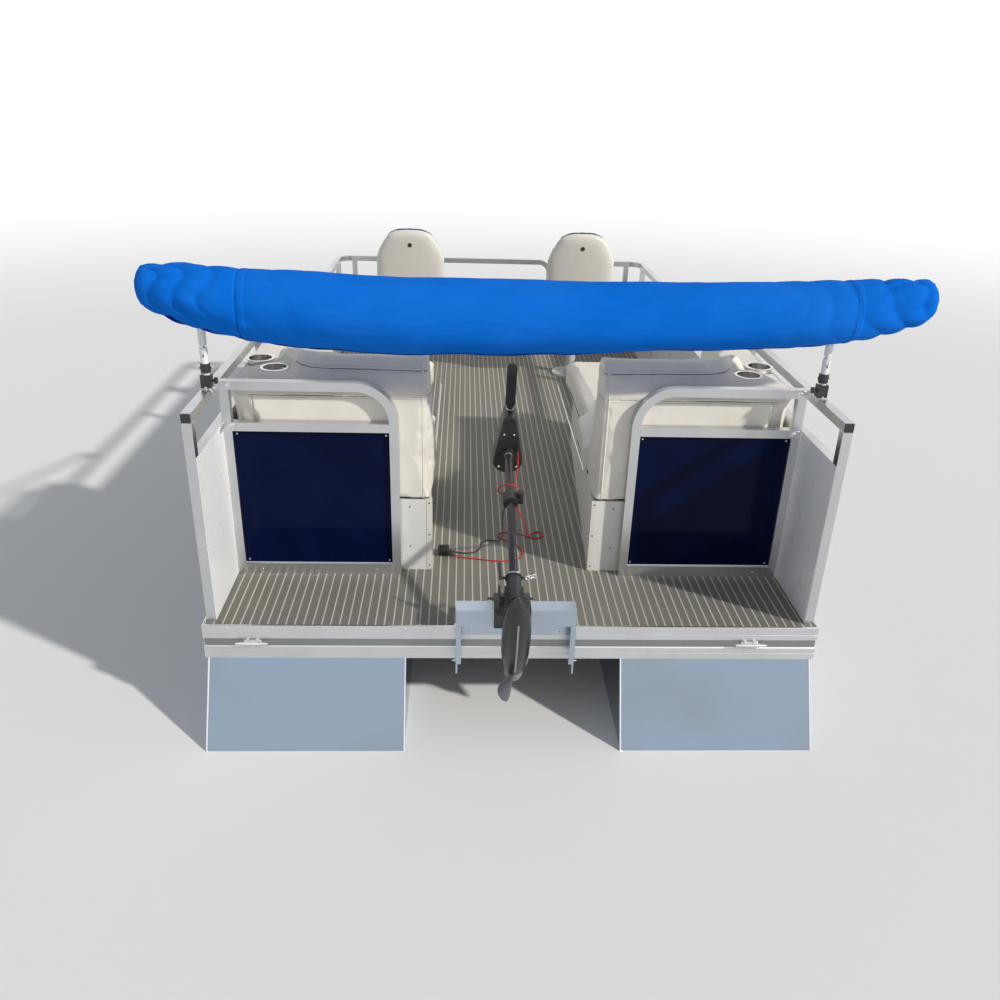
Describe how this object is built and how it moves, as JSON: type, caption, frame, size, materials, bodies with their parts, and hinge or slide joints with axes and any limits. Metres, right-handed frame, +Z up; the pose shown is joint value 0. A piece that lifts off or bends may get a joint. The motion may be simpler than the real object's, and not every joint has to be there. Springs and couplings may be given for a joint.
{
  "type": "pontoon boat",
  "caption": "Small twin-hull deck boat with fenced deck, stern lounges, swivel chairs, folded canopy and stowed electric outboard.",
  "frame": {"origin": "centre of the overall length and width, at the flat bottom of the pontoons", "axes": "+X starboard, +Y towards the bow, +Z up"},
  "size_m": [2.6, 4.3843, 1.73],
  "materials": {
    "plate_aluminium": "bright mill finish sheet",
    "extruded_aluminium": "satin extrusion",
    "rail_aluminium": "satin square tube",
    "deck_plywood": "marine plywood",
    "deck_vinyl": "woven vinyl with pale ribs",
    "navy_panel": "gloss enamel outside, white inside",
    "moulded_base": "rotomoulded plastic",
    "seat_vinyl": "sewn marine vinyl",
    "polished_steel": "polished",
    "pedestal_paint": "powder coat",
    "canvas": "woven marine canvas",
    "white_tube": "white powder coat",
    "black_plastic": "moulded plastic",
    "black_shaft": "satin black tube",
    "motor_paint": "satin black paint",
    "black_rubber": "grip, plug and cable",
    "red_cable": "sheathed cable",
    "propeller_grey": "moulded plastic"
  },
  "bodies": {
    "hull": {"pontoon_port": "plate_aluminium", "pontoon_starboard": "plate_aluminium", "pontoon_rails": "plate_aluminium", "cross_members": "plate_aluminium", "deck_board": "deck_plywood", "deck_covering": "deck_vinyl", "stern_trim": "extruded_aluminium", "bow_trim": "extruded_aluminium", "side_trim_port": "extruded_aluminium", "side_trim_starboard": "extruded_aluminium", "motor_mount": "plate_aluminium", "mooring_cleats": "extruded_aluminium", "stern_fence_port": "rail_aluminium", "stern_fence_starboard": "rail_aluminium", "stern_panel_port": "navy_panel", "stern_panel_starboard": "navy_panel", "side_fence_port": "rail_aluminium", "side_fence_starboard": "rail_aluminium", "side_panels_port": "navy_panel", "side_panels_starboard": "navy_panel", "bow_fence_port": "rail_aluminium", "bow_fence_starboard": "rail_aluminium", "bow_panel_port": "navy_panel", "bow_panel_starboard": "navy_panel", "lounge_base_port": "moulded_base", "lounge_base_starboard": "moulded_base", "lounge_back_port": "seat_vinyl", "lounge_back_starboard": "seat_vinyl", "lounge_arm_port": "seat_vinyl", "lounge_arm_starboard": "seat_vinyl", "cup_holders_port": "polished_steel", "cup_holders_starboard": "polished_steel", "chair_pedestal_port": "pedestal_paint", "chair_pedestal_starboard": "pedestal_paint", "canopy_hinges": "black_plastic", "pole_jaws": "black_plastic", "clamp_bracket": "black_plastic", "red_lead": "red_cable", "black_lead": "black_rubber", "lead_plug": "black_rubber"},
    "bow_gate": {"bow_gate_frame": "rail_aluminium", "bow_gate_panel": "navy_panel"},
    "seat_lid_port": {"lounge_seat_port": "seat_vinyl"},
    "seat_lid_starboard": {"lounge_seat_starboard": "seat_vinyl"},
    "chair_port": {"chair_seat_port": "seat_vinyl"},
    "chair_starboard": {"chair_seat_starboard": "seat_vinyl"},
    "chair_back_port": {"chair_back_port": "seat_vinyl"},
    "chair_back_starboard": {"chair_back_starboard": "seat_vinyl"},
    "canopy": {"canopy_frame": "white_tube", "canopy_boot": "canvas"},
    "support_pole_port": {"support_pole_port": "white_tube"},
    "support_pole_starboard": {"support_pole_starboard": "white_tube"},
    "motor_tilt": {"tilt_yoke": "black_plastic"},
    "motor_depth": {"depth_collar": "black_plastic"},
    "motor_turn": {"motor_shaft": "black_shaft", "motor_pod": "motor_paint", "control_head": "black_plastic", "tiller_handle": "black_rubber", "head_lead": "red_cable"},
    "propeller": {"propeller": "propeller_grey"}
  },
  "joints": [
    {"name": "bow_gate_swing", "type": "hinge", "parent": "hull", "child": "bow_gate", "pos_m": [0.421, 1.85175, 0.9], "axis": [0, 0, -1], "range_deg": [0, 110]},
    {"name": "seat_lid_port_lift", "type": "hinge", "parent": "hull", "child": "seat_lid_port", "pos_m": [-0.298, -0.645, 0.905], "axis": [0, 1, 0], "range_deg": [0, 85]},
    {"name": "chair_port_swivel", "type": "hinge", "parent": "hull", "child": "chair_port", "pos_m": [-0.505, 1.145, 0.93], "axis": [0, 0, 1], "continuous": true},
    {"name": "chair_back_port_fold", "type": "hinge", "parent": "chair_port", "child": "chair_back_port", "pos_m": [-0.505, 0.952, 1.068], "axis": [-1, 0, 0], "range_deg": [0, 84]},
    {"name": "seat_lid_starboard_lift", "type": "hinge", "parent": "hull", "child": "seat_lid_starboard", "pos_m": [0.298, -0.645, 0.905], "axis": [0, -1, 0], "range_deg": [0, 85]},
    {"name": "chair_starboard_swivel", "type": "hinge", "parent": "hull", "child": "chair_starboard", "pos_m": [0.505, 1.145, 0.93], "axis": [0, 0, 1], "continuous": true},
    {"name": "chair_back_starboard_fold", "type": "hinge", "parent": "chair_starboard", "child": "chair_back_starboard", "pos_m": [0.505, 0.952, 1.068], "axis": [-1, 0, 0], "range_deg": [0, 84]},
    {"name": "canopy_raise", "type": "hinge", "parent": "hull", "child": "canopy", "pos_m": [0, -0.195, 1.255], "axis": [-1, 0, 0], "range_deg": [0, 75]},
    {"name": "support_pole_port_fold", "type": "hinge", "parent": "canopy", "child": "support_pole_port", "pos_m": [-1.03872, -1.555, 1.472], "axis": [1, 0, 0], "range_deg": [0, 70]},
    {"name": "support_pole_starboard_fold", "type": "hinge", "parent": "canopy", "child": "support_pole_starboard", "pos_m": [1.03872, -1.555, 1.472], "axis": [1, 0, 0], "range_deg": [0, 70]},
    {"name": "motor_tilt", "type": "hinge", "parent": "hull", "child": "motor_tilt", "pos_m": [-0.014, -1.917, 0.741], "axis": [1, 0, 0], "range_deg": [0, 70]},
    {"name": "motor_depth", "type": "slide", "parent": "motor_tilt", "child": "motor_depth", "axis": [0, -0.9397, -0.342], "range_m": [0, 0.335]},
    {"name": "motor_steer", "type": "hinge", "parent": "motor_depth", "child": "motor_turn", "pos_m": [-0.014, -1.93992, 0.80396], "axis": [0, 0.9397, 0.342], "range_deg": [-35, 35]},
    {"name": "propeller_spin", "type": "hinge", "parent": "motor_turn", "child": "propeller", "pos_m": [-0.014, -2.11564, 0.74], "axis": [0, -0.342, 0.9397], "continuous": true}
  ],
  "couplings": [
    {"joint": "motor_depth", "follows": "motor_tilt", "m_per_rad": 0.2742}
  ]
}
